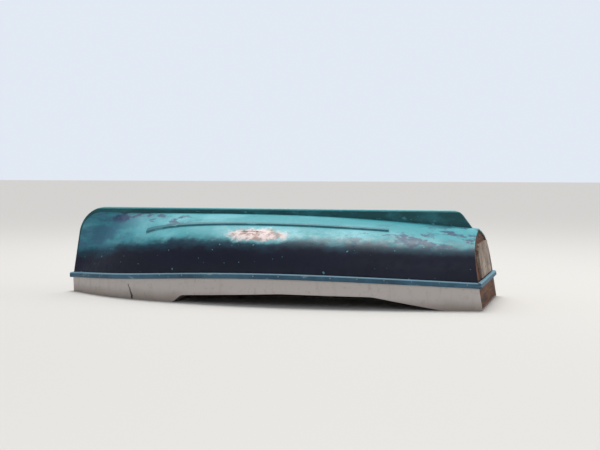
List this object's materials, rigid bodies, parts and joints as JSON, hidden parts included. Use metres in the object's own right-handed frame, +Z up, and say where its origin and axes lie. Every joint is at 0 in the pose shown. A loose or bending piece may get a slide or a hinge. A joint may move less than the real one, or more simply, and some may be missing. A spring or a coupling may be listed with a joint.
{
  "type": "rowing boat",
  "caption": "Small moulded rowing boat stored keel up, with a long keel and skeg, bilge rails, rub rail, raised bow and stern rims, thwarts, bottom boards and a wooden transom.",
  "frame": {"origin": "on the ground, under the middle of the boat's overall length and breadth, as it lies keel up", "axes": "+X towards the stern along the boat, +Y towards the port side of the upturned boat, +Z up, from the deck rim it rests on to the keel"},
  "size_m": [3.7054, 1.4666, 0.752],
  "materials": {
    "hull_paint": "old navy and turquoise paint over moulded laminate, worn and sun-faded",
    "keel_paint": "turquoise paint over moulded laminate, rubbed along the edge",
    "rail_paint": "turquoise and navy paint over moulded laminate",
    "rub_rail": "faded blue-green plastic strip",
    "deck_gelcoat": "dirty off-white moulded gelcoat with hairline cracks",
    "inside_wood": "old varnish",
    "floor_wood": "bare and worn",
    "stained_ply": "stained and damp",
    "weathered_board": "grey, bare and splitting",
    "drain_brass": "dull",
    "galvanised": "dull zinc coating"
  },
  "bodies": {
    "root": {"hull_shell": "hull_paint", "keel_and_skeg": "keel_paint", "bilge_rail_starboard": "rail_paint", "bilge_rail_port": "rail_paint", "rub_rail_starboard": "rub_rail", "rub_rail_port": "rub_rail", "rub_rail_stern": "rub_rail", "deck_moulding": "deck_gelcoat", "foredeck": "deck_gelcoat", "transom_panel": "stained_ply", "transom_outer_board": "weathered_board", "drain_tube": "drain_brass", "rowlock_socket_starboard": "galvanised", "rowlock_socket_port": "galvanised", "ring_bolt": "galvanised", "bow_bulkhead": "inside_wood", "seat_riser_starboard": "inside_wood", "seat_riser_port": "inside_wood", "forward_thwart": "inside_wood", "rowing_thwart": "inside_wood", "forward_thwart_post": "inside_wood", "rowing_thwart_post": "inside_wood", "forward_knee_starboard": "inside_wood", "forward_knee_port": "inside_wood", "rowing_knee_starboard": "inside_wood", "rowing_knee_port": "inside_wood", "stern_bench": "inside_wood", "stern_locker_front": "inside_wood", "floor_bearer_fore": "inside_wood", "floor_bearer_mid": "inside_wood", "floor_bearer_aft": "inside_wood", "foot_stretcher": "inside_wood", "rowlock_block_starboard": "inside_wood", "rowlock_block_port": "inside_wood", "transom_doubler": "inside_wood", "floor_board_centre": "floor_wood", "floor_board_starboard_inner": "floor_wood", "floor_board_starboard_outer": "floor_wood", "floor_board_port_inner": "floor_wood", "floor_board_port_outer": "floor_wood"}
  },
  "joints": []
}
